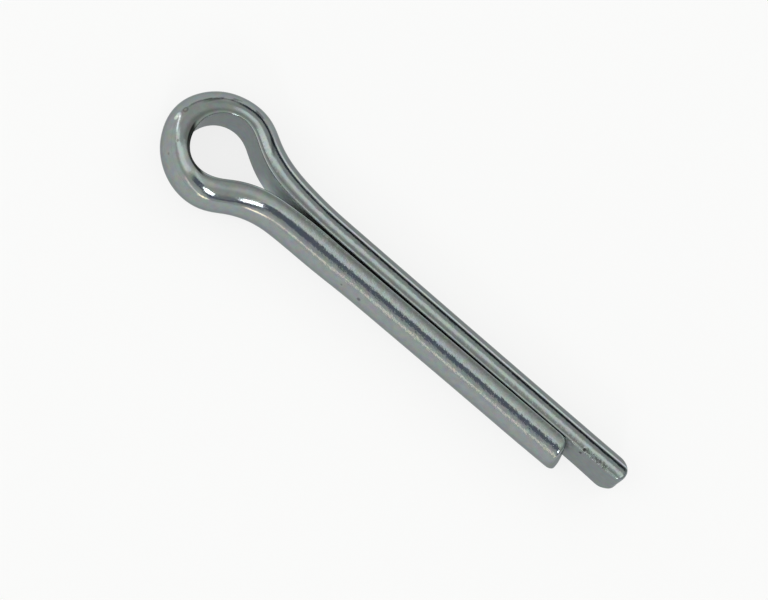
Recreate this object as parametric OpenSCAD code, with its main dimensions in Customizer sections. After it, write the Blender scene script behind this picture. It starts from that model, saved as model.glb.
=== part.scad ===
// Cotter pin: one length of half-round wire folded back on itself.
// The pin lies flat. +X runs along the shank from the eye to the tips, +Y to the long leg, +Z up.
// The origin is on the shank's axis, where its straight run begins.

/* [Wire] */
// Radius of the round outside that the two legs share
shank_r = 2.85; // [2.6:0.05:3.1]
// Gap between the flats of the two legs
gap = 0.28; // [0.16:0.02:0.4]
// Bevel along the wire's two edges
edge_bevel = 0.25; // [0.15:0.05:0.4]

/* [Eye] */
// Radius of the flat inside the eye
eye_r = 3.2; // [3:0.05:3.6]
// Offset of the eye's centre toward the short leg
eye_shift = 0.1; // [0:0.05:0.3]

/* [Neck] */
// Radius of the easy bend that ends each neck, where the eye has run into a leg
lead_r = 75; // [60:1:90]

/* [Legs] */
// Reach of the short leg from the origin, at the middle of its tip
short_reach = 29.7; // [25:0.1:40]
// Further reach of the long leg
extra_reach = 5.8; // [2:0.1:8]

/* [Tips] */
// Slant of the sheared tips, which face a little upward, in degrees off square
slant = 11; // [0:1:15]
// Rounding of the long tip's corner on the flat side, seen from above
long_flat_corner = 1.3; // [0.5:0.1:1.4]
// Rounding of the long tip's corner on the round side, seen from above
long_round_corner = 1; // [0.5:0.1:1]
// Rounding of the short tip's corners, seen from above
short_corner = 0.5; // [0.3:0.1:1]

/* [Hidden] */
$fn = 48;
flat_y = gap / 2;
thickness = shank_r - flat_y;
zinc = [0.56, 0.58, 0.56];
// half the size of the blocks that cut the bends off, larger than any bend
block = lead_r + 10;
// radii are kept to this step
step = 0.0001;

// half the height of the flat, between the two bevels
flat_z = sqrt(pow(shank_r, 2) - pow(flat_y, 2)) - edge_bevel;

// The bends meet along directions of whole-number triangles, whose sines and cosines are short
// decimals, so neighbouring bends share exactly the same end.
// Directions from the eye's centre to the centres of the two tight bends
long_aim = atan2(527, 336);
short_aim = atan2(4, 3);
// Turn of the easy bends
lead_turn = atan2(237, 3116);
// Rake of the long tip, whose round side reaches further than its flat side
long_rake = atan2(7, 24);

// Radius of a tight bend, such that the leg after it lies parallel to the shank's axis at its
// half of the gap, for an eye whose centre is dropped by shift
function tight_r(aim, shift) = step * round(
    (eye_r * sin(aim) - flat_y - shift - lead_r * (1 - cos(lead_turn)))
    / (cos(lead_turn) - sin(aim)) / step);
// Distance along X from the eye's centre to the start of the straight leg
function leg_start(aim, shift) = (eye_r + tight_r(aim, shift)) * cos(aim)
    + (lead_r - tight_r(aim, shift)) * sin(lead_turn);

eye_x = -leg_start(long_aim, eye_shift);

// Half-round wire with bevelled edges. X is the depth from the flat, Y the height.
module wire_section() {
    intersection() {
        translate([-flat_y, 0]) circle(shank_r);
        polygon([
            [0, flat_z],
            [thickness, flat_z + thickness],
            [2 * thickness, flat_z + thickness],
            [2 * thickness, -flat_z - thickness],
            [thickness, -flat_z - thickness],
            [0, -flat_z]
        ]);
    }
}

// Everything on the left of the plane through Z that looks along the direction
module left_of(direction) {
    rotate([0, 0, direction]) translate([-block, 0, -block]) cube([2 * block, block, 2 * block]);
}

// Everything on the right of that plane
module right_of(direction) {
    rotate([0, 0, direction]) translate([-block, -block, -block])
        cube([2 * block, block, 2 * block]);
}

// The eye, round the origin, open toward +X between its two necks
module eye() {
    difference() {
        rotate_extrude() translate([eye_r, 0]) wire_section();
        intersection() {
            right_of(long_aim);
            left_of(-short_aim);
        }
    }
}

// A bend round the origin with its flat outside, between two directions
module bend(r, from, to) {
    intersection() {
        rotate_extrude() translate([r, 0]) mirror([1, 0]) wire_section();
        left_of(from);
        right_of(to);
    }
}

// Distance along X from the middle of the tip to the centre of a rounded corner at y
function corner_x(y, corner, rake) = step * round(
    ((y - thickness / 2) * tan(rake) - corner / cos(rake)) / step);

// Outline of a leg from above, with two rounded corners at the tip. The middle of the tip is at
// x = 0, the flat at y = 0.
module leg_outline(length, flat_corner, round_corner, rake) {
    flat_x = corner_x(flat_corner, flat_corner, rake);
    // the corner stands a little proud of the round side, so that it crosses it at an angle
    round_y = thickness + 0.05 - round_corner;
    round_x = corner_x(round_y, round_corner, rake);
    polygon([
        [-length - 1, -1],
        [flat_x, -1],
        [flat_x, flat_corner],
        [flat_x + flat_corner * cos(rake), flat_corner - flat_corner * sin(rake)],
        [round_x + round_corner * cos(rake), round_y - round_corner * sin(rake)],
        [round_x, round_y],
        [round_x, thickness + 1],
        [-length - 1, thickness + 1]
    ]);
    translate([flat_x, flat_corner]) circle(flat_corner);
    translate([round_x, round_y]) circle(round_corner);
}

// Straight leg along +X with its flat on the plane y = 0
module leg(length, flat_corner, round_corner, rake) {
    intersection() {
        rotate([90, 0, 90]) linear_extrude(length + 2) wire_section();
        // turned about the tip, so that the sheared end faces a little upward
        translate([length, 0, 0]) rotate([0, -slant, 0]) translate([0, 0, -block])
            linear_extrude(2 * block) leg_outline(length, flat_corner, round_corner, rake);
    }
}

// One arm from the eye's centre to its tip: a tight bend, an easy bend and the straight leg
module arm(aim, shift, reach, flat_corner, round_corner, rake) {
    r = tight_r(aim, shift);
    to_lead = 270 - lead_turn;
    rotate([0, 0, aim]) translate([eye_r + r, 0, 0]) rotate([0, 0, -aim]) {
        bend(r, 180 + aim, to_lead);
        rotate([0, 0, -lead_turn]) translate([0, lead_r - r, 0]) rotate([0, 0, lead_turn]) {
            bend(lead_r, to_lead, 270);
            translate([0, -lead_r, 0])
                leg(reach - eye_x - leg_start(aim, shift), flat_corner, round_corner, rake);
        }
    }
}

module pin() {
    color(zinc) translate([eye_x, -eye_shift, 0]) union() {
        eye();
        arm(long_aim, eye_shift, short_reach + extra_reach,
            long_flat_corner, long_round_corner, long_rake);
        mirror([0, 1, 0])
            arm(short_aim, -eye_shift, short_reach, short_corner, short_corner, 0);
    }
}

pin();
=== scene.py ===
import math
from collections import namedtuple

import bpy
import numpy as np
from mathutils import Matrix, Vector


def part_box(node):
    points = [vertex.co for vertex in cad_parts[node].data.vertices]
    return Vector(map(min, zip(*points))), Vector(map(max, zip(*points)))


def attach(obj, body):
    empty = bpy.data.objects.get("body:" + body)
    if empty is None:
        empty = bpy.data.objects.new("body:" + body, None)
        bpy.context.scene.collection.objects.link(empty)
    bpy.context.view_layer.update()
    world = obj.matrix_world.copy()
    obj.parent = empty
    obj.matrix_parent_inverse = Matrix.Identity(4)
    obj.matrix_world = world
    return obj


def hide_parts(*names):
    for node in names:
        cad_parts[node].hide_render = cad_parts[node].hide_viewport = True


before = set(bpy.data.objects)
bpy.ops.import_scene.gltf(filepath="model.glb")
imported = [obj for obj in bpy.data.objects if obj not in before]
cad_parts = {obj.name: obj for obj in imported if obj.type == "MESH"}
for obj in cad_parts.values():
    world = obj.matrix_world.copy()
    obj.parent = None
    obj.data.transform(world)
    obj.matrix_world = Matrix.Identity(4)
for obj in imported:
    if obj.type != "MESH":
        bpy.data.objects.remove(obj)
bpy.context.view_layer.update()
pin_low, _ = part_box("pin")

MM = 0.001

# These repeat the named values of the part's source, in millimetres and radians.
SHANK_R = 2.85
GAP = 0.28
EYE_R = 3.2
EYE_SHIFT = 0.1
LEAD_R = 75
SHORT_REACH = 29.7
EXTRA_REACH = 5.8
LONG_AIM = math.atan2(527, 336)
SHORT_AIM = math.atan2(4, 3)
LEAD_TURN = math.atan2(237, 3116)

FLAT_Y = GAP / 2
THICKNESS = SHANK_R - FLAT_Y

# What the bent wire has beyond the source's plain arcs and bevels, in millimetres unless said
# otherwise.
# The wire's edges turn over from the flat to the top with three radii one after the other: at the
# flat, on a bevel between the two BEVEL facings (in degrees from the depth's direction), and on
# top. Each changes into the next over BEVEL_BLEND degrees.
EYE_EDGE = (0.1, 0.5, 0.5)
NECK_EDGE = (0.1, 1.0, 0.25)  # along the long leg's neck and the first half of its shank
LONG_EDGE = (0.1, 0.8, 0.4)  # along the rest of the long leg
SHORT_EDGE = (0.08, 0.2, 0.2)  # along the short leg
BEVEL = (115, 104)
BEVEL_BLEND = 6
# Where the eye's section gives way to the neck's, and that to the end's: start x and run
NECK_BLEND = (-8, 6)
END_BLEND = (12, 6)

EASE = 1.8  # length over which one bend runs into the next
CLOSING = 0.1  # each leg leans in by this much at the short tip
TWIST = math.radians(2.2)  # twist of the long leg's end, about a line at TWIST_Y
TWIST_RUN = 5.0
TWIST_Y = 1.2

# Where the wire round the eye is thinner than the source's: azimuth round the eye's centre and how
# far to either side of it, in degrees, and by how much on the flat's side and on the round side
# (thicker where that is below 0). It fades out toward the legs.
EYE_THINNING = [(240, 60, 0.2, 0.2), (105, 40, 0.0, 0.12), (170, 36, 0.02, -0.15)]
EYE_FADE = (-12, 5)  # start x and run

LONG_END_MOVE = 0.44  # the ends reach this much beyond the source's
SHORT_END_MOVE = 0.1
TIP_RUN = 3.2  # the last stretch of a leg, meshed together with its end
HEEL_START = -1.2  # height below which a sheared end is drawn back
HEEL_ROUND = 0.9  # an end's rounding at the flat grows by this share down to the bottom

# A sheared end: rounding at the flat and at the round side, rake across the wire, slant from the
# top down, how much the end is drawn back at the bottom (per square millimetre below HEEL_START),
# and the length over which its rim is rounded
End = namedtuple("End", "flat_corner round_corner rake slant heel rim")

# An arm of the wire, from the eye's far side to its tip. The edges are those of the neck and of the
# end. flat_move is how much deeper in the wire the flat lies than the source's, or how much further
# out where it is below 0, and it comes in from x = move_start on. thinning is as for the eye, with
# x in place of the azimuth.
Arm = namedtuple("Arm", "side aim shift reach edges end flat_move move_start thinning")
ARMS = [
    Arm(
        side=1,
        aim=LONG_AIM,
        shift=EYE_SHIFT,
        reach=SHORT_REACH + EXTRA_REACH + LONG_END_MOVE,
        edges=(NECK_EDGE, LONG_EDGE),
        end=End(
            flat_corner=0.6,
            round_corner=1.85,
            rake=math.radians(18.2),
            slant=math.radians(2.1),
            heel=0.18,
            rim=0.8,
        ),
        flat_move=-0.055,
        move_start=-10,
        thinning=[(-9.5, 3.5, -0.12, 0), (-7, 5, 0, -0.1), (18, 30, 0, 0.04)],
    ),
    Arm(
        side=-1,
        aim=SHORT_AIM,
        shift=-EYE_SHIFT,
        reach=SHORT_REACH + SHORT_END_MOVE,
        edges=(SHORT_EDGE, SHORT_EDGE),
        end=End(
            flat_corner=1.0,
            round_corner=0.9,
            rake=0,
            slant=math.radians(11),
            heel=0.14,
            rim=0.75,
        ),
        flat_move=0.05,
        move_start=-3,
        thinning=[
            (-9.5, 3.5, -0.06, 0),
            (-1, 6, 0, -0.14),
            (18, 24, 0, 0.07),
            (33, 9, 0, 0.1),
        ],
    ),
]
FLAT_MOVE_RUN = 4  # length over which a flat_move comes in

# How finely the mesh is made
STEP = 0.01  # between the points of a line before the mesh's own are picked from it
TURN_STEP = 0.05  # the same round an edge, in degrees
LAST_FACING = 60  # where an edge's turn stops at the latest, well after it has met the round
SPARE = 3  # how far a leg's line is drawn past its tip before it is cut
SPARE_WALL = 1  # the same for the wall before a tip's rings
STATIONS_PER_MM = 2.2
STATIONS_PER_RADIAN = 28
FLAT_POINTS, EDGE_POINTS, ROUND_POINTS = 6, 10, 21  # along half of the section
TIP_RINGS = 56
TIP_CENTRE = 0.43  # the end's middle vertex, as a share of the thickness
WALL_POINTS, FACE_POINTS = 200, 700  # along the leg and across the end, before picking
FACE_PACKING = 3  # the power that packs the end's points toward its rim
FACE_OVERRUN = 1.3  # they run this far, where 1 is the centre


# ---------------------------------------------------------------- the wire's mesh


def smooth_step(t):
    t = np.clip(t, 0, 1)
    return t * t * (3 - 2 * t)


def section_points(side_round, bevel_round, top_round):
    """Outline of the half-round wire as (depth from the flat, height) pairs, from the flat's
    middle upward and round."""
    facing = np.radians(np.arange(180, LAST_FACING, -TURN_STEP))
    on_bevel, on_top = (
        smooth_step((start - np.degrees(facing)) / BEVEL_BLEND + 0.5) for start in BEVEL
    )
    radius = side_round + (bevel_round - side_round) * on_bevel + (top_round - bevel_round) * on_top
    turn = math.radians(TURN_STEP)
    depth = np.cumsum(radius * np.sin(facing)) * turn
    rise = np.cumsum(-radius * np.cos(facing)) * turn
    join = np.argmax(depth < SHANK_R * np.cos(facing) - FLAT_Y)
    tilt = facing[join]
    edge_z = SHANK_R * math.sin(tilt) - rise[join]
    half = [(0.0, edge_z * t) for t in np.linspace(0, 1, FLAT_POINTS)[:-1]]
    run = np.concatenate([[0], np.cumsum(radius[:join]) * turn])
    for stop in np.linspace(0, run[-1], EDGE_POINTS)[:-1]:
        i = int(np.searchsorted(run, stop))
        half.append((depth[i], edge_z + rise[i]) if i else (0.0, edge_z))
    for angle in np.linspace(tilt, 0, ROUND_POINTS):
        half.append((SHANK_R * math.cos(angle) - FLAT_Y, SHANK_R * math.sin(angle)))
    lower = [(d, -z) for d, z in half[-2:0:-1]]
    return np.array(half + lower)


def eased(values, run):
    """The values, STEP apart, with each jump spread evenly over a run."""
    wide = max(3, int(round(run / STEP)) | 1)  # an odd number of steps
    padded = np.concatenate([np.full(wide, values[0]), values, np.full(wide, values[-1])])
    return np.convolve(padded, np.full(wide, 1 / wide), mode="same")[wide:-wide]


def tight_radius(aim, shift):
    """Radius of the tight bend between the eye and the easy bend of an arm."""
    drop = FLAT_Y + shift + LEAD_R * (1 - math.cos(LEAD_TURN))
    return (EYE_R * math.sin(aim) - drop) / (math.cos(LEAD_TURN) - math.sin(aim))


def eye_distance():
    """How far the eye's centre lies behind the start of the long leg."""
    tight = tight_radius(LONG_AIM, EYE_SHIFT)
    return (EYE_R + tight) * math.cos(LONG_AIM) + (LEAD_R - tight) * math.sin(LEAD_TURN)


def leaning(x):
    """How far a leg leans toward the other one at x."""
    return CLOSING * np.clip(x, 0, None) / SHORT_REACH


def arm_line(aim, shift, reach):
    """The flat's line from the eye's far side to TIP_RUN before the tip, for an arm drawn on the
    -Y side. Returns the stations as rows of x, y and heading."""
    tight = tight_radius(aim, shift)
    bends = [
        (EYE_R * (math.pi - aim), 1 / EYE_R),
        (tight * (math.pi / 2 - aim - LEAD_TURN), -1 / tight),
        (LEAD_R * LEAD_TURN, -1 / LEAD_R),
    ]
    parts = []
    for run, bend in bends:
        count = int(round(run / STEP))
        parts.append(np.full(count, bend * (run / (count * STEP))))
    straight = np.zeros(int(round((reach + SPARE) / STEP)))
    curvature = eased(np.concatenate([*parts, straight]), EASE)
    heading = 1.5 * math.pi + np.cumsum(curvature) * STEP
    x = -EYE_R + np.cumsum(np.cos(heading)) * STEP
    y = np.cumsum(np.sin(heading)) * STEP
    bent = sum(run for run, _ in bends)
    along = (np.arange(len(x)) + 1) * STEP
    y += smooth_step(along / bent) * (-FLAT_Y - shift - y[-1])
    x -= eye_distance()
    y += shift
    y += leaning(x)
    keep = x < reach - TIP_RUN
    keep[: int(bent / STEP)] = True
    x, y, heading, curvature = x[keep], y[keep], heading[keep], curvature[keep]
    density = np.cumsum(STATIONS_PER_MM + STATIONS_PER_RADIAN * np.abs(curvature)) * STEP
    stops = np.searchsorted(density, np.linspace(density[0], density[-1], int(density[-1])))
    stops = np.unique(np.clip(stops, 0, len(x) - 1))
    return np.column_stack([x[stops], y[stops], heading[stops]])


def end_profile(depth, flat_corner, round_corner, rake):
    """How far the sheared end reaches at a depth from the flat, from above, against the middle of
    the tip."""
    flat_x = (flat_corner - THICKNESS / 2) * math.tan(rake) - flat_corner / math.cos(rake)
    round_d = THICKNESS - round_corner
    round_x = (round_d - THICKNESS / 2) * math.tan(rake) - round_corner / math.cos(rake)
    reach = (depth - THICKNESS / 2) * math.tan(rake)
    near = np.sqrt(np.clip(flat_corner**2 - (flat_corner - depth) ** 2, 0, None))
    far = np.sqrt(np.clip(round_corner**2 - (depth - round_d) ** 2, 0, None))
    reach = np.where(depth < flat_corner * (1 - math.sin(rake)), flat_x + near, reach)
    return np.where(depth > round_d - round_corner * math.sin(rake), round_x + far, reach)


def tip_rings(section, end):
    """Rings of (depth, height, reach against the middle of the tip) from the leg to the end's
    centre."""
    centre = np.array([THICKNESS * TIP_CENTRE, 0.0])
    out = np.zeros((TIP_RINGS, len(section), 3))
    # dense near the rim, where the end may run almost along the leg
    share = 1 - np.linspace(0, 1, FACE_POINTS) ** FACE_PACKING * FACE_OVERRUN
    for i, point in enumerate(section):
        depth, height = (centre[k] + (point[k] - centre[k]) * share for k in range(2))
        corner = end.flat_corner * (1 + HEEL_ROUND * np.clip(-height / SHANK_R, 0, 1))
        reach = end_profile(np.clip(depth, 0, THICKNESS), corner, end.round_corner, end.rake)
        reach = reach - math.tan(end.slant) * height
        reach = reach - end.heel * np.clip(HEEL_START - height, 0, None) ** 2
        wall = np.linspace(-TIP_RUN - SPARE_WALL, reach[0], WALL_POINTS)[:-1]
        line = np.column_stack(
            [
                np.concatenate([np.full(len(wall), point[0]), depth]),
                np.concatenate([np.full(len(wall), point[1]), height]),
                np.concatenate([wall, reach]),
            ]
        )
        run = np.concatenate([[0], np.cumsum(np.linalg.norm(np.diff(line, axis=0), axis=1))])
        even = np.arange(0, run[-1], STEP)
        line = np.column_stack(
            [eased(np.interp(even, run, line[:, k]), end.rim) for k in range(3)]
        )
        start = np.searchsorted(line[:, 2], -TIP_RUN)
        across = (line[:, :2] - centre) @ (point - centre)
        stop = np.argmax(across < 0)
        pick = np.linspace(start, stop, TIP_RINGS)
        for k in range(3):
            out[:, i, k] = np.interp(pick, np.arange(len(line)), line[:, k])
    return out


def thinning_at(spots, place):
    """How much thinner the wire is at a place, on the flat's side and on the round side."""
    return sum(
        smooth_step(1 - abs(place - centre) / spread) * np.array([inner, outer])
        for centre, spread, inner, outer in spots
    )


def arm_rings(arm, eye_section):
    """The rings of one arm's mesh, from the eye's far side to the middle of its tip."""
    line = arm_line(arm.aim, arm.shift, arm.reach)
    neck_section, end_section = (section_points(*edge) for edge in arm.edges)
    rows = []
    for x, y, heading in line:
        out_x, out_y = math.sin(heading), -math.cos(heading)
        on_neck, on_end, off_eye, moved = (
            smooth_step((x - start) / run)
            for start, run in (NECK_BLEND, END_BLEND, EYE_FADE, (arm.move_start, FLAT_MOVE_RUN))
        )
        section = eye_section * (1 - on_neck) + neck_section * (on_neck - on_end)
        depth, height = (section + end_section * on_end).T
        azimuth = 180 - arm.side * math.degrees(heading - 1.5 * math.pi)
        round_eye = thinning_at(EYE_THINNING, azimuth) * (1 - off_eye)
        inner, outer = round_eye + thinning_at(arm.thinning, x)
        depth = inner + depth * (1 - (inner + outer) / THICKNESS)
        depth = depth + arm.flat_move * moved * (1 - depth / THICKNESS)
        rows.append(np.column_stack([x + out_x * depth, y + out_y * depth, height]))
    end_x, end_y, _ = line[-1]
    for depth, height, reach in (ring.T for ring in tip_rings(end_section, arm.end)[1:]):
        x = arm.reach + reach
        outer = np.array([thinning_at(arm.thinning, place)[1] for place in x])
        depth = depth * (1 - outer / THICKNESS)
        depth = depth + arm.flat_move * (1 - depth / THICKNESS)
        lean = leaning(x) - leaning(end_x)
        rows.append(np.column_stack([x, end_y + lean - depth, height]))
    rings = np.array(rows)
    # the arm was drawn on the -Y side
    rings[:, :, 1] *= -arm.side
    return rings


def twisted(rings, reach):
    """The long arm's rings, with its end twisted."""
    turn = TWIST * smooth_step((rings[:, :, 0] - (reach - TWIST_RUN)) / TWIST_RUN)
    x, y, z = rings[:, :, 0], rings[:, :, 1] - TWIST_Y, rings[:, :, 2]
    turned_y = TWIST_Y + y * np.cos(turn) + z * np.sin(turn)
    return np.stack([x, turned_y, z * np.cos(turn) - y * np.sin(turn)], axis=2)


def wire_mesh():
    eye_section = section_points(*EYE_EDGE)
    long_rings, short_rings = (arm_rings(arm, eye_section) for arm in ARMS)
    # one sweep from the long tip, round the eye, to the short tip
    rings = np.concatenate([twisted(long_rings, ARMS[0].reach)[::-1], short_rings[1:]])
    tips = rings[[0, -1]].mean(axis=1)
    vertices = np.concatenate([tips[:1], *rings[1:-1], tips[1:]])
    count = len(eye_section)
    around = [(k, (k + 1) % count) for k in range(count)]
    end = len(vertices) - 1
    last_ring = end - count
    faces = []
    for a in range(1, last_ring, count):
        b = a + count
        faces.extend((a + k, a + j, b + j, b + k) for k, j in around)
    for k, j in around:
        faces.append((0, 1 + j, 1 + k))
        faces.append((end, last_ring + k, last_ring + j))
    mesh = bpy.data.meshes.new("pin_wire")
    mesh.from_pydata([tuple(v * MM) for v in vertices], [], faces)
    mesh.validate()
    mesh.polygons.foreach_set("use_smooth", [True] * len(mesh.polygons))
    return mesh


# ---------------------------------------------------------------- node helpers

SPOT_CORE = 0.4  # share of a spot's radius within which it has its full effect


def feed(tree, socket, value):
    """Link a node's output to the socket, or set a plain value there."""
    if isinstance(value, bpy.types.NodeSocket):
        tree.links.new(value, socket)
    else:
        socket.default_value = value


def math_node(tree, operation, *values):
    node = tree.nodes.new("ShaderNodeMath")
    node.operation = operation
    for socket, value in zip(node.inputs, values):
        feed(tree, socket, value)
    return node.outputs[0]


def chain(tree, operation, first, *others):
    """All the values multiplied, or the largest of them, and so on."""
    for other in others:
        first = math_node(tree, operation, first, other)
    return first


def vector_node(tree, operation, first, second, result="Vector"):
    node = tree.nodes.new("ShaderNodeVectorMath")
    node.operation = operation
    feed(tree, node.inputs[0], first)
    feed(tree, node.inputs["Scale" if operation == "SCALE" else 1], second)
    return node.outputs[result]


def axes_of(tree, vector):
    node = tree.nodes.new("ShaderNodeSeparateXYZ")
    tree.links.new(vector, node.inputs[0])
    return tuple(node.outputs)


def vector_of(tree, *values):
    node = tree.nodes.new("ShaderNodeCombineXYZ")
    for socket, value in zip(node.inputs, values):
        feed(tree, socket, value)
    return node.outputs[0]


def ramp(tree, value, start, full, shape="SMOOTHSTEP"):
    """0 where the value is at start and before, 1 from full on."""
    node = tree.nodes.new("ShaderNodeMapRange")
    node.interpolation_type = shape
    tree.links.new(value, node.inputs["Value"])
    node.inputs["From Min"].default_value = start
    node.inputs["From Max"].default_value = full
    return node.outputs["Result"]


def band(tree, value, start, full, last, stop):
    """1 where the value is from full to last, and 0 up to start and from stop on."""
    return math_node(
        tree, "SUBTRACT", ramp(tree, value, start, full), ramp(tree, value, last, stop)
    )


def distance(tree, vector, centre):
    return vector_node(tree, "DISTANCE", vector, centre, "Value")


def spot(tree, vector, centre, radius):
    """1 near the centre and 0 from the radius on."""
    return ramp(tree, distance(tree, vector, centre), radius, radius * SPOT_CORE)


def noise(tree, vector, size, detail=2):
    """Soft noise around 0.5, with blotches of about this size. Returns the node."""
    node = tree.nodes.new("ShaderNodeTexNoise")
    tree.links.new(vector, node.inputs["Vector"])
    node.inputs["Scale"].default_value = 1 / size
    node.inputs["Detail"].default_value = detail
    return node


def dents(tree, vector, size, depth):
    """A bumpy height."""
    return math_node(tree, "MULTIPLY", noise(tree, vector, size).outputs[0], depth)


def blend_colour(tree, share, first, second):
    node = tree.nodes.new("ShaderNodeMix")
    node.data_type = "RGBA"
    # the colours' sockets are inputs 6 and 7 and output 2
    feed(tree, node.inputs[0], share)
    for socket, value in ((node.inputs[6], first), (node.inputs[7], second)):
        feed(tree, socket, (*value, 1) if isinstance(value, tuple) else value)
    return node.outputs[2]


# ---------------------------------------------------------------- the zinc

BASE = (0.28, 0.308, 0.308)
GRAZING = (0.55, 0.57, 0.57)  # the metal's tint where it is seen at a low angle
TINT_SIZE = 0.7
TINT_SHARE = 0.25
TINT_MIDDLE = 0.5  # the tint's average, which leaves the base as it is
SMOOTH, ROUGH = 0.1, 0.4  # roughness of the plating, and of its marks, the ends and the flats

# Sizes, depths and places are in millimetres. A run of two numbers goes from nothing to the full
# effect, and one of four goes on to where the effect starts to fade and where it has gone.
DENTS = (0.5, 0.016)  # size and depth, shallower on the eye
EYE_DENTS_SHARE = 0.4
EYE_DENTS_X = (-8, 0)
FINE_DENTS = (0.15, 0.004)
FLANK_DENTS = (0.3, 0.016)  # more on the short leg's flank
FLANK_Y = (-1.0, -1.4)
FLANK_X = (-4, 2)
DENT = ((-19.1, 0.1, 2.15), 0.6)  # centre and radius of a shallow dent on the eye's far side
DENT_DEPTH = 0.015
DENT_RING = ((-19.22, 0.28, 2.09), 0.4, 0.24)  # a dark ring by it: centre, radius and hollow
DENT_RING_SHARE = 0.5

# Dark marks. Pits in the plating: centre, radius and share
PITS = [
    ((5.11, -2.59, 1.14), 0.27, 0.6),
    ((2.94, -2.58, 1.2), 0.15, 0.5),
    ((-17.86, -2.67, 2.44), 0.2, 0.4),
    ((-17.71, -4.0, 1.63), 0.17, 0.35),
    ((30.8, -0.02, 1.8), 0.22, 1),
    ((30.8, -0.02, 2.1), 0.22, 1),
    ((30.85, 0.22, 2.75), 0.24, 1),
]
# and a scuffed stretch along the long tip's edge
SCUFF_LINE = (0.25, 2.68)  # its y and z
SCUFF_WIDTH = 0.4
SCUFF_X = (30.6, 31.0, 33.2, 34.2)
SCUFF_BLOTCH = 0.22
SCUFF_LEVELS = (0.46, 0.56)
SCUFF_SHARE = 0.65
MARK_COLOUR = (0.06, 0.06, 0.062)
MARK_DEPTH = 0.02

# Along the long leg's outer side, painted reflections in the base colour: a painted highlight line,
# a painted dark reflection line above it and painted shade below it
OUTER_FACING = (0.3, 0.45)
OUTER_X = (-13, -8)
HIGHLIGHT_LINE_Z = (1.98, 2.08, 2.16, 2.22)
HIGHLIGHT_LINE_BLOTCH = 0.12
HIGHLIGHT_LINE_SHARE = 1.6
DARK_REFLECTION_Z = (2.18, 2.26, 2.36, 2.44)
DARK_REFLECTION_X = (-4, 0)
DARK_REFLECTION_SHARE = 0.7
SHADE_BELOW_Z = (2.1, 1.95)
SHADE_BELOW_SHARE = 0.2

# Round the eye: painted shade as a dark line along part of the hole's edge, and a dark streak on
# the long leg's side
RIM_SHADE_RADIUS = (3.7, 3.58)
RIM_SHADE_Z = (2.3, 2.6)
RIM_SHADE_AZIMUTH = math.radians(228)
RIM_SHADE_TOWARD = (2.3, 2.8)  # distance from the eye's centre toward that azimuth
RIM_SHADE_SHARE = 0.9
STREAK_RADIUS = (4.48, 4.64, 4.86, 5.02)
STREAK_Y = (1.6, 2.6)
STREAK_Z = (1.8, 2.0)
STREAK_BLOTCH = 0.9
STREAK_LEVELS = (0.42, 0.56)
STREAK_SHARE = 0.5

# Inside the fold the flats are rougher, and brighter by painted light that stands in for light
# bounced between them
FOLD_X = (-10.5, -7.5, -5.5, -2.5)
FOLD_FACING = (0.8, 0.97)
FOLD_Y = (2.2, 1.6)
FOLD_PAINTED_LIGHT = 1.1
FOLD_ROUGHNESS = 0.2

# Painted light: two painted glints beside the dent, and two spots of painted light on the long
# leg's flat by the short tip's corner, which lift its shade. Centre, radius and share
PAINTED_LIGHT_SPOTS = [
    ((-19.38, -0.5, 1.9), 0.4, 1.0),
    ((-19.4, -0.85, 1.8), 0.32, 1.0),
    ((28.95, 0, 2.0), 0.8, 1.4),
    ((29.35, 0, 1.2), 0.7, 0.6),
]

# Where the ends and the flats begin
LONG_END_X = (35.2, 35.6)
SHORT_END_X = (29.2, 29.6)
SHORT_END_Y = (0.2, 0.0)
FLAT_FACING = (-0.75, -0.85)
FLAT_SIDE_Y = (-0.4, -0.2)
EYE_FLAT_RADIUS = (3.6, 3.45)
UPRIGHT = (0.4, 0.15)


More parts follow.
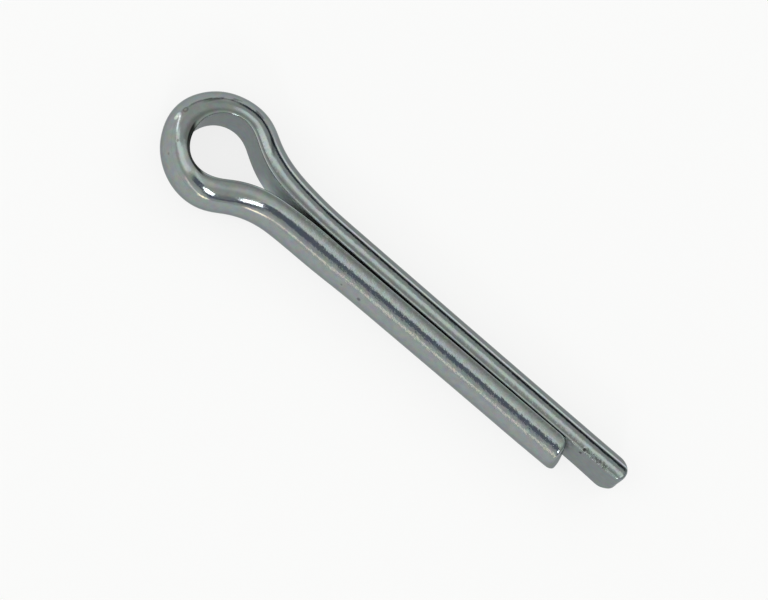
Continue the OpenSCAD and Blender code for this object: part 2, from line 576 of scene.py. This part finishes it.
def zinc_material():
    material = bpy.data.materials.new("zinc_plated_steel")
    material.use_nodes = True
    look = material.node_tree
    shader = look.nodes["Principled BSDF"]
    shader.inputs["Metallic"].default_value = 1
    shader.inputs["Specular Tint"].default_value = (*GRAZING, 1)

    place = look.nodes.new("ShaderNodeTexCoord").outputs["Object"]
    place = vector_node(look, "SCALE", place, 1 / MM)
    x, y, z = axes_of(look, place)
    facing = look.nodes.new("ShaderNodeNewGeometry").outputs["Normal"]
    _, facing_y, facing_z = axes_of(look, facing)
    eye_x, eye_y = -eye_distance(), -EYE_SHIFT
    from_eye = distance(look, vector_of(look, x, y, 0), (eye_x, eye_y, 0))

    def product(*values):
        return chain(look, "MULTIPLY", *values)

    def largest(*values):
        return chain(look, "MAXIMUM", *values)

    def added(value, share, total):
        return math_node(look, "MULTIPLY_ADD", value, share, total)

    # Dark marks
    marks = 0
    for centre, radius, share in PITS:
        marks = largest(product(spot(look, place, centre, radius), share), marks)
    scuff_blotches = noise(look, place, SCUFF_BLOTCH).outputs[0]
    scuff = product(
        spot(look, vector_of(look, 0, y, z), (0, *SCUFF_LINE), SCUFF_WIDTH),
        band(look, x, *SCUFF_X),
        ramp(look, scuff_blotches, *SCUFF_LEVELS, shape="LINEAR"),
        SCUFF_SHARE,
    )
    marks = largest(marks, scuff)

    # Bump
    off_eye = added(ramp(look, x, *EYE_DENTS_X), 1 - EYE_DENTS_SHARE, EYE_DENTS_SHARE)
    height = product(dents(look, place, *DENTS), off_eye)
    height = math_node(look, "ADD", height, dents(look, place, *FINE_DENTS))
    flank = product(ramp(look, y, *FLANK_Y), ramp(look, x, *FLANK_X))
    height = added(flank, dents(look, place, *FLANK_DENTS), height)
    height = added(spot(look, place, *DENT), -DENT_DEPTH, height)
    height = added(marks, -MARK_DEPTH, height)
    bump = look.nodes.new("ShaderNodeBump")
    bump.inputs["Distance"].default_value = MM
    look.links.new(height, bump.inputs["Height"])
    look.links.new(bump.outputs[0], shader.inputs["Normal"])

    # How bright the metal is, against its base, with painted highlights, painted reflections and
    # painted shade
    # Painted reflections on the long leg's outer side: a painted dark line, painted shade lower
    # down and a painted highlight line
    painted_dark_reflection = product(band(look, z, *DARK_REFLECTION_Z), ramp(look, x, *DARK_REFLECTION_X), DARK_REFLECTION_SHARE)
    dark = added(ramp(look, z, *SHADE_BELOW_Z), SHADE_BELOW_SHARE, painted_dark_reflection)
    painted_highlight_line = product(
        band(look, z, *HIGHLIGHT_LINE_Z), noise(look, place, HIGHLIGHT_LINE_BLOTCH).outputs[0], HIGHLIGHT_LINE_SHARE
    )
    outer = product(ramp(look, facing_y, *OUTER_FACING), ramp(look, x, *OUTER_X))
    bright = added(outer, math_node(look, "SUBTRACT", painted_highlight_line, dark), 1)
    # Painted light on the flats inside the fold, for light bounced between them
    fold = product(
        band(look, x, *FOLD_X),
        ramp(look, math_node(look, "ABSOLUTE", facing_y), *FOLD_FACING),
        ramp(look, math_node(look, "ABSOLUTE", y), *FOLD_Y),
    )
    bright = added(fold, FOLD_PAINTED_LIGHT, bright)
    toward = added(
        math_node(look, "SUBTRACT", y, eye_y),
        math.sin(RIM_SHADE_AZIMUTH),
        product(math_node(look, "SUBTRACT", x, eye_x), math.cos(RIM_SHADE_AZIMUTH)),
    )
    # Painted shade along part of the hole's edge
    rim = product(
        ramp(look, from_eye, *RIM_SHADE_RADIUS), ramp(look, z, *RIM_SHADE_Z), ramp(look, toward, *RIM_SHADE_TOWARD)
    )
    bright = added(rim, -RIM_SHADE_SHARE, bright)
    streak = product(
        band(look, from_eye, *STREAK_RADIUS),
        ramp(look, y, *STREAK_Y),
        ramp(look, z, *STREAK_Z),
        ramp(look, noise(look, place, STREAK_BLOTCH).outputs[0], *STREAK_LEVELS),
    )
    bright = added(streak, -STREAK_SHARE, bright)
    # Painted glints beside the dent and painted light on the long leg's flat
    for centre, radius, share in PAINTED_LIGHT_SPOTS:
        bright = added(spot(look, place, centre, radius), share, bright)
    centre, radius, hollow = DENT_RING
    ring = math_node(
        look, "SUBTRACT", spot(look, place, centre, radius), spot(look, place, centre, hollow)
    )
    bright = added(ring, -DENT_RING_SHARE, bright)

    # Colour, which goes a little green, blue or pink from place to place
    tint = noise(look, place, TINT_SIZE, detail=4).outputs["Color"]
    colour = blend_colour(look, TINT_SHARE, (TINT_MIDDLE, TINT_MIDDLE, TINT_MIDDLE), tint)
    colour = vector_node(look, "MULTIPLY", colour, [c / TINT_MIDDLE for c in BASE])
    colour = vector_node(look, "SCALE", colour, bright)
    look.links.new(blend_colour(look, marks, colour, MARK_COLOUR), shader.inputs["Base Color"])

    # Roughness
    short_end = product(ramp(look, x, *SHORT_END_X), ramp(look, y, *SHORT_END_Y))
    leg_flats = product(ramp(look, facing_y, *FLAT_FACING), ramp(look, y, *FLAT_SIDE_Y))
    flats = product(
        largest(leg_flats, ramp(look, from_eye, *EYE_FLAT_RADIUS)),
        ramp(look, math_node(look, "ABSOLUTE", facing_z), *UPRIGHT),
    )
    rough = largest(marks, ramp(look, x, *LONG_END_X), short_end, flats)
    rough = added(rough, ROUGH - SMOOTH, SMOOTH)
    look.links.new(added(fold, FOLD_ROUGHNESS, rough), shader.inputs["Roughness"])
    return material


wire = bpy.data.objects.new("pin_wire", wire_mesh())
bpy.context.scene.collection.objects.link(wire)
wire.data.materials.append(zinc_material())

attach(wire, "root")
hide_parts("pin")

# ---------------------------------------------------------------- the floor

FLOOR_SIZE = 1.5  # metres, to either side
FLOOR_WHITE = 0.92
FLOOR_GLOW = 0.8  # how much of the floor's white is its own


def floor_material():
    material = bpy.data.materials.new("floor_white")
    material.use_nodes = True
    tree = material.node_tree
    paint = tree.nodes["Principled BSDF"]
    paint.inputs["Base Color"].default_value = (FLOOR_WHITE, FLOOR_WHITE, FLOOR_WHITE, 1)
    paint.inputs["Roughness"].default_value = 1
    paint.inputs["Specular IOR Level"].default_value = 0
    # Seen straight on or in a reflection the floor glows, and otherwise it is plain paint
    seen = tree.nodes.new("ShaderNodeLightPath").outputs
    seen_by_any = chain(
        tree,
        "MAXIMUM",
        seen["Is Camera Ray"],
        seen["Is Glossy Ray"],
        seen["Is Transmission Ray"],
    )
    mix = tree.nodes.new("ShaderNodeMixShader")
    tree.links.new(math_node(tree, "MULTIPLY", seen_by_any, FLOOR_GLOW), mix.inputs[0])
    tree.links.new(paint.outputs[0], mix.inputs[1])
    tree.links.new(tree.nodes.new("ShaderNodeEmission").outputs[0], mix.inputs[2])
    tree.links.new(mix.outputs[0], tree.nodes["Material Output"].inputs[0])
    return material


floor_mesh = bpy.data.meshes.new("floor")
corners = [(-1, -1), (1, -1), (1, 1), (-1, 1)]
floor_mesh.from_pydata(
    [(x * FLOOR_SIZE, y * FLOOR_SIZE, pin_low[2]) for x, y in corners], [], [(0, 1, 2, 3)]
)
floor_mesh.materials.append(floor_material())
floor = bpy.data.objects.new("floor", floor_mesh)
bpy.context.scene.collection.objects.link(floor)

# ---------------------------------------------------------------- the light

# The studio's lights and dark places, each a soft-edged patch of sky. Azimuth runs from +X toward
# +Y, and tip is the angle down from the zenith, in degrees. A patch with a slope comes down by
# that much for each degree of azimuth. Later patches cover earlier ones.
ZENITH = (0.42, 0.43, 0.39)
PATCHES = [
    # name, azimuth, half width, its soft edge, tip, half height, its soft edge, slope, colour
    ("walls", 0, 180, 1, 60, 53, 10, 0, (0.72, 0.73, 0.69)),
    ("far wall", 0, 35, 20, 62, 16, 8, 0, (0.45, 0.46, 0.44)),
    ("dim corner", 148, 40, 30, 22, 17, 14, 0, (0.42, 0.43, 0.4)),
    ("dim ceiling", 85, 22, 16, 22, 16, 8, 0, (0.5, 0.52, 0.5)),
    ("ceiling lamp", 150, 75, 30, 2, 7, 10, 0, (0.85, 0.87, 0.84)),
    ("pale ceiling", -105, 70, 20, 25, 9, 14, 0, (1.05, 1.06, 1.0)),
    ("window", -134, 26, 14, 43, 13, 12, -0.1, (1.62, 1.65, 1.58)),
    ("window end", -164, 12, 10, 58, 9, 8, -0.7, (1.62, 1.65, 1.58)),
    ("low wall", -130, 60, 20, 79, 10, 8, 0, (0.95, 0.97, 0.93)),
    ("strip", -85, 20, 8, 27, 4.5, 5, 0.9, (1.42, 1.5, 1.46)),
    ("dark curtain", -82, 14, 8, 46.5, 11.5, 3, 0.3, (0.22, 0.24, 0.3)),
    ("dark corner", -49, 15, 6, 68, 9, 14, -0.2, (0.4, 0.43, 0.48)),
    ("darkest corner", -58, 17, 10, 73, 3, 6, 0.5, (0.16, 0.17, 0.23)),
    ("curtain foot", -84, 12, 8, 61.5, 3, 4, 0.3, (0.72, 0.72, 0.72)),
    ("warm strip", -80, 24, 8, 82.5, 2.3, 4, 0.5, (2.2, 1.98, 1.74)),
    ("warm lamp", -69, 8, 8, 87, 2.5, 4, 0.2, (4.5, 3.8, 2.9)),
    ("key lamp", -63, 6.5, 4, 56.5, 4.5, 4, 0.7, (14, 14, 14)),
    ("side window", 66, 10, 12, 44, 15, 6, 0, (1.85, 1.9, 1.82)),
    ("side window foot", 88, 16, 10, 53.5, 8, 11, 0, (1.42, 1.48, 1.42)),
    ("side wall", 90, 40, 16, 68, 7, 6, 0, (0.6, 0.62, 0.6)),
    ("dark skirting", 62, 43, 12, 84, 6.5, 4, 0, (0.06, 0.08, 0.1)),
    ("dim skirting", 130, 25, 12, 87, 4, 6, 0, (0.42, 0.43, 0.44)),
    ("end lamp", 180, 9, 5, 77, 3.8, 3, -0.8, (2.8, 2.8, 2.8)),
]


def soft_mask(tree, value, half, soft):
    """1 where the value's size is under the half width, and 0 past its soft edge."""
    size = math_node(tree, "ABSOLUTE", value)
    return ramp(tree, size, half + soft / 2, half - soft / 2)


def degrees_of(tree, operation, *values):
    return math_node(tree, "MULTIPLY", math_node(tree, operation, *values), 180 / math.pi)


world = bpy.data.worlds.new("studio")
bpy.context.scene.world = world
world.use_nodes = True
sky = world.node_tree
direction = sky.nodes.new("ShaderNodeTexCoord").outputs["Generated"]
toward_x, toward_y, toward_z = axes_of(sky, direction)
azimuth = degrees_of(sky, "ARCTAN2", toward_y, toward_x)
tip = degrees_of(sky, "ARCCOSINE", toward_z)
sky_colour = ZENITH
for _, patch_azimuth, half, soft, patch_tip, half_tip, soft_tip, slope, colour in PATCHES:
    side = math_node(sky, "WRAP", math_node(sky, "SUBTRACT", azimuth, patch_azimuth), 180, -180)
    middle = math_node(sky, "MULTIPLY_ADD", side, slope, patch_tip)
    drop = math_node(sky, "SUBTRACT", tip, middle)
    mask = math_node(
        sky, "MULTIPLY", soft_mask(sky, side, half, soft), soft_mask(sky, drop, half_tip, soft_tip)
    )
    sky_colour = blend_colour(sky, mask, sky_colour, colour)
sky.links.new(sky_colour, sky.nodes["Background"].inputs["Color"])

# ---------------------------------------------------------------- the camera

CAMERA_TARGET = Vector((7.060, -0.649, 0)) * MM
CAMERA_DISTANCE = 450.655 * MM
CAMERA_BACK = Vector((-0.04146, -0.27729, 0.95989)).normalized()
CAMERA_RIGHT = Vector((0.75848, 0.61663, 0.21089)).normalized()
LENS = 220.225  # the focal length, in millimetres, as is the sensor's width
SENSOR = 36

lens = bpy.data.cameras.new("camera")
lens.lens = LENS
lens.sensor_width = SENSOR
camera = bpy.data.objects.new("camera", lens)
camera_up = CAMERA_BACK.cross(CAMERA_RIGHT)
turn = Matrix((CAMERA_RIGHT, camera_up, CAMERA_BACK)).transposed().to_4x4()
camera.matrix_world = Matrix.Translation(CAMERA_TARGET + CAMERA_BACK * CAMERA_DISTANCE) @ turn
bpy.context.scene.collection.objects.link(camera)
bpy.context.scene.camera = camera

bpy.context.scene.view_settings.view_transform = "Standard"
